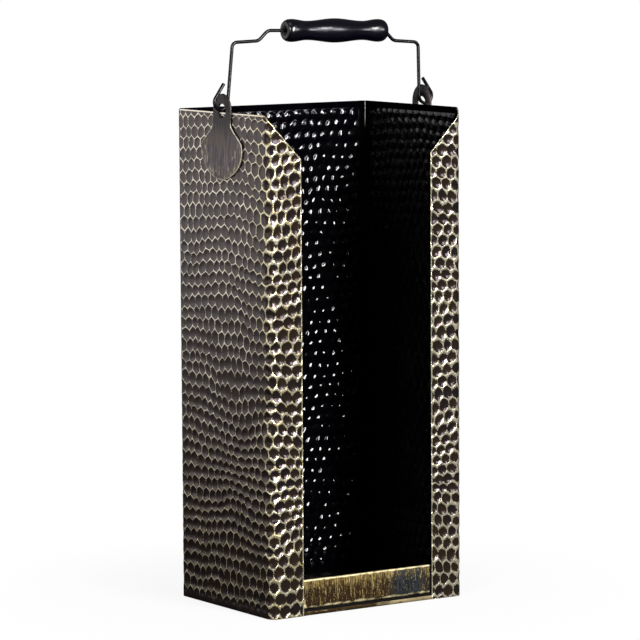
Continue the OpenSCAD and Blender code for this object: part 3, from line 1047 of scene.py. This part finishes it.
def make_tray():
    """Rings from inside the rim round its foot and over the top, then back below the floor."""
    top = TRAY_HIGH.z
    under = top - SHEET
    upper = [(SHEET, 0.3 * MM), (0.7 * SHEET, 0.0), (0.3 * SHEET, 0.0), (0.0, 0.3 * MM), (0.0, 2.2 * MM)]
    upper += arc((TRAY_BEND, top - TRAY_BEND), TRAY_BEND, 180, 90, 5)
    upper += [(4 * MM, top), (12 * MM, top), (30 * MM, top), (55 * MM, top)]
    lower = [(55 * MM, under), (12 * MM, under), (2 * MM, under)]
    lower += [(1.2 * SHEET, under - 0.5 * MM), (SHEET, under - MM)]
    points, numbers = flatten([tray_ring(inset, z) for inset, z in upper + lower])
    above, below = numbers[: len(upper)], numbers[len(upper) :]
    faces = []
    for first, second in zip(above, above[1:]):
        faces += bridge(first, second)
    faces += [tuple(above[-1]), tuple(below[0])]
    for first, second in zip(below, below[1:]):
        faces += bridge(first, second)
    faces += bridge(below[-1], above[0])
    add_piece("floor_tray", points, faces, "carrier", "base_plate", "floor_sheet", tray_metal())


RIM_BROWN = rgb(0.06, 0.036, 0.012)
RIM_BRASS = rgb(0.56, 0.45, 0.24)
GROOVE_SHADOW = rgb(0.003, 0.0025, 0.002)
SCUFF_GREY = rgb(0.05, 0.045, 0.04)


def tray_metal():
    """Brass along the turned-down rim, a painted shadow along the rim's top bend, and the bin's black
    lacquer with scuffs on top.
    """
    n = Nodes("tray_metal")
    parts = n.add("ShaderNodeSeparateXYZ", {0: n.place()})
    height = parts.outputs["Z"]
    patch = n.noise(1.0, n.place((110, 110, 520)), detail=4, roughness=0.65)
    scuff = n.noise(90, detail=5, roughness=0.7)
    right = n.ramp(parts.outputs["X"], -10 * MM, 45 * MM)
    bright = n.ramp(n.math("ADD", patch, n.math("MULTIPLY", right, 0.3)), 0.54, 0.76)
    rim = n.blend(bright, RIM_BROWN, RIM_BRASS)
    # Painted shadow: from 3 mm up, round the rim's top bend, the brass turns black and loses its metal
    # and most of its gloss, for the shadow in the gap under the lip; the floor's top keeps that low
    # gloss.
    shadow_band = (height, 3.0 * MM, 3.8 * MM)
    rim = n.blend(n.ramp(*shadow_band), rim, GROOVE_SHADOW)
    top = n.blend(n.ramp(scuff, 0.5, 0.75), LACQUER, SCUFF_GREY)
    on_top = n.ramp(height, 5.4 * MM, 5.9 * MM)
    return n.finish(
        Base_Color=n.blend(on_top, rim, top),
        Metallic=n.ramp(*shadow_band, 0.75, 0.0),
        Specular_IOR_Level=n.ramp(*shadow_band, 0.5, 0.05),
        Roughness=n.ramp(scuff, 0.3, 0.75, 0.3, 0.5),
        Normal=n.bump(scuff, 0.05 * MM),
    )


make_tray()


# Grip

GRIP_LOW, GRIP_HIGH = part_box("grip")
GRIP_HALF = 50.5 * MM
BULGE_R = 10.5 * MM
WAIST_R = 8.3 * MM
WAIST_AT = 28.3 * MM
BEAD_R = 9.9 * MM
BEAD_AT = 44 * MM
GRIP_END_R = 6.6 * MM
BORE_R = 1.8 * MM
MOUTH_R = 4.2 * MM
MOUTH_DEPTH = 6 * MM
GRIP_SIDES = 56


def wave(t):
    return (1 - math.cos(math.pi * t)) / 2


def grip_radius(s):
    """Radius at distance s from the middle: a bulge, a waist and a bead at the end."""
    if s <= WAIST_AT:
        return BULGE_R + (WAIST_R - BULGE_R) * wave(s / WAIST_AT)
    if s <= BEAD_AT:
        return WAIST_R + (BEAD_R - WAIST_R) * wave((s - WAIST_AT) / (BEAD_AT - WAIST_AT))
    t = (s - BEAD_AT) / (GRIP_HALF - BEAD_AT)
    return GRIP_END_R + (BEAD_R - GRIP_END_R) * max(0, 1 - t**2.2) ** 0.5


def grip_profile():
    """Half of the grip's section from its middle to the middle of its bore: (along, radius, bare)."""
    body = [GRIP_HALF * k / 60 for k in range(54)]
    body += [BEAD_AT + (GRIP_HALF - BEAD_AT) * math.sin(math.pi / 2 * k / 14) for k in range(4, 15)]
    half = [(s, grip_radius(s), smooth(s, GRIP_HALF - 0.5 * MM, GRIP_HALF)) for s in body]
    return half + [
        (GRIP_HALF - 0.05 * MM, 5.4 * MM, 1.0),
        (GRIP_HALF - 0.2 * MM, MOUTH_R + 0.25 * MM, 1.0),
        (GRIP_HALF - 0.6 * MM, MOUTH_R - 0.15 * MM, 0.8),
        (GRIP_HALF - 3 * MM, 3.0 * MM, 0.5),
        (GRIP_HALF - MOUTH_DEPTH, BORE_R, 0.3),
        (GRIP_HALF / 2, BORE_R, 0.3),
    ]


def make_grip():
    """The section turned round the grip's axis, bore included."""
    half = grip_profile()
    whole = [(-s, r, bare) for s, r, bare in half[:0:-1]] + half
    axis = GRIP_AXIS.normalized()
    side = axis.cross(Vector((0, 0, 1))).normalized()
    up = side.cross(axis)
    middle = (GRIP_LOW + GRIP_HIGH) / 2
    angles = [2 * math.pi * k / GRIP_SIDES for k in range(GRIP_SIDES)]
    spokes = [math.cos(angle) * side + math.sin(angle) * up for angle in angles]
    rings = [[middle + s * axis + radius * spoke for spoke in spokes] for s, radius, _ in whole]
    points, numbers = flatten(rings)
    faces = []
    for k, ring in enumerate(numbers):
        faces += bridge(ring, numbers[(k + 1) % len(numbers)])
    bare = [share for _, _, share in whole for _ in spokes]
    add_piece("turned_grip", points, faces, "grip", "grip", "grip_wood", black_lacquer(), bare=bare)


def black_lacquer():
    """Glossy black paint on the grip, with bare dark wood at its ends and in its bore."""
    n = Nodes("black_lacquer")
    grain = n.noise(1.0, n.place((45, 520, 520)), detail=4, roughness=0.6)
    ragged = n.ramp(n.noise(700), 0.2, 0.8, -0.3, 0.3)
    bare = n.ramp(n.math("ADD", n.attribute("bare"), ragged), 0.35, 0.9)
    wood = n.blend(n.ramp(n.noise(900), 0.3, 0.7), rgb(0.012, 0.009, 0.009), rgb(0.09, 0.078, 0.074))
    body = n.blend(n.ramp(grain, 0.45, 0.8), rgb(0.0012, 0.001, 0.003), rgb(0.004, 0.003, 0.008))
    return n.finish(
        Base_Color=n.blend(bare, body, wood),
        Roughness=n.math("ADD", n.ramp(grain, 0.3, 0.8, 0.19, 0.25), n.math("MULTIPLY", bare, 0.35)),
        Normal=n.bump(grain, 0.008 * MM),
        Specular_IOR_Level=0.6,
    )


make_grip()


# Wire of the bail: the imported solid, with worn black paint


def wire_metal():
    """Black paint, thin and greyish where it is worn."""
    n = Nodes("wire_metal")
    patch = n.noise(120, detail=4, roughness=0.65)
    fine = n.noise(1500, detail=2)
    worn = n.ramp(n.math("ADD", patch, n.math("MULTIPLY", fine, 0.12)), 0.66, 0.78)
    return n.finish(
        Base_Color=n.blend(worn, rgb(0.002, 0.002, 0.002), rgb(0.09, 0.084, 0.08)),
        Metallic=n.math("MULTIPLY", worn, 0.6),
        Roughness=n.ramp(patch, 0.3, 0.8, 0.16, 0.28),
        Specular_IOR_Level=0.3,
        Normal=n.bump(fine, 0.03 * MM),
    )


wire = frame["nodes"]["bail_wire"]
wire.data.materials.clear()
wire.data.materials.append(wire_metal())


# Floor and light

FLOOR_HALF = 8.0
FLOOR_SEEN = rgb(0.78, 0.78, 0.78)
FLOOR_IN_FRONT = rgb(0.035, 0.033, 0.032)
FLOOR_BEHIND = rgb(0.32, 0.285, 0.275)
WORLD_SEEN = 1.0
WORLD_UNSEEN = 0.08


def add_stage():
    """White floor that fades into the background; reflections see it dark in front, paler behind."""
    n = Nodes("studio_floor")
    at = n.add("ShaderNodeTexCoord", {}).outputs["Object"]
    away = n.add("ShaderNodeVectorMath", {0: at}, operation="LENGTH").outputs["Value"]
    seen = n.add("ShaderNodeLightPath", {}).outputs["Is Camera Ray"]
    fade = n.math("MULTIPLY", n.ramp(away, 0.05, 0.38, 0.88, 1.0), seen)
    behind = n.ramp(n.add("ShaderNodeSeparateXYZ", {0: at}).outputs["Y"], 0.15, 1.0)
    unseen = n.blend(behind, FLOOR_IN_FRONT, FLOOR_BEHIND)
    shade = n.blend(seen, unseen, FLOOR_SEEN)
    paper = n.add("ShaderNodeBsdfDiffuse", {"Color": shade}).outputs[0]
    glow = n.add("ShaderNodeEmission", {"Color": rgb(1, 1, 1), "Strength": 1.0}).outputs[0]
    mixed = n.add("ShaderNodeMixShader", {0: fade, 1: paper, 2: glow}).outputs[0]
    n.tree.nodes.remove(n.shader)
    n.feed(n.tree.nodes["Material Output"].inputs["Surface"], mixed)
    corners = [(x * FLOOR_HALF, y * FLOOR_HALF, 0) for x, y in ((-1, -1), (1, -1), (1, 1), (-1, 1))]
    mesh = bpy.data.meshes.new("studio_floor")
    mesh.from_pydata(corners, [], [(0, 1, 2, 3)])
    mesh.materials.append(n.material)
    floor = bpy.data.objects.new("studio_floor", mesh)
    bpy.context.scene.collection.objects.link(floor)


def add_world():
    """White for the camera, almost dark for everything else."""
    world = bpy.data.worlds.new("studio")
    bpy.context.scene.world = world
    world.use_nodes = True
    tree = world.node_tree
    path = tree.nodes.new("ShaderNodeLightPath")
    seen = tree.nodes.new("ShaderNodeMath")
    seen.operation = "MAXIMUM"
    tree.links.new(path.outputs["Is Camera Ray"], seen.inputs[0])
    tree.links.new(path.outputs["Is Transmission Ray"], seen.inputs[1])
    strength = tree.nodes.new("ShaderNodeMapRange")
    tree.links.new(seen.outputs[0], strength.inputs["Value"])
    strength.inputs["To Min"].default_value = WORLD_UNSEEN
    strength.inputs["To Max"].default_value = WORLD_SEEN
    background = tree.nodes["Background"]
    background.inputs["Color"].default_value = rgb(1, 1, 1)
    tree.links.new(strength.outputs["Result"], background.inputs["Strength"])


def add_softbox(name, at, aim, width, height, power, color=(1, 1, 1), roll=0.0):
    """A rectangular lamp that the camera doesn't see, turned by roll round its own axis."""
    data = bpy.data.lights.new(name, "AREA")
    data.color = color
    data.shape = "RECTANGLE"
    data.size = width
    data.size_y = height
    data.energy = power
    lamp = bpy.data.objects.new(name, data)
    bpy.context.scene.collection.objects.link(lamp)
    lamp.location = at
    lamp.visible_camera = False
    lamp.rotation_euler = (Vector(aim) - Vector(at)).to_track_quat("-Z", "Y").to_euler()
    lamp.rotation_euler.rotate_axis("Z", roll)


def add_lights():
    middle = (0, 0, 0.25)
    add_softbox("front_softbox", (0.2, -2.3, 1.02), middle, 0.36, 1.5, 94, roll=math.radians(-25))
    add_softbox("side_softbox", (1.1, -2.1, 0.9), middle, 0.6, 0.6, 13, color=(0.9, 0.88, 1.0))
    add_softbox("corner_softbox", (-1.67, -1.1, 1.15), middle, 0.5, 0.5, 20)
    add_softbox("front_left_card", (-2.0, -1.34, 0.42), middle, 1.0, 0.84, 2.6)
    add_softbox("left_card", (-2.3, 0.1, 0.5), middle, 1.3, 1.0, 4.8)
    add_softbox("back_left_card", (-1.2, 1.65, 0.84), (0, 0, 0.6), 1.6, 1.6, 8.2)
    add_softbox("top_softbox", (-0.6, -0.4, 2.2), (0, 0, 0.3), 0.8, 0.8, 3)


add_stage()
add_world()
add_lights()
bpy.context.scene.view_settings.view_transform = "Standard"
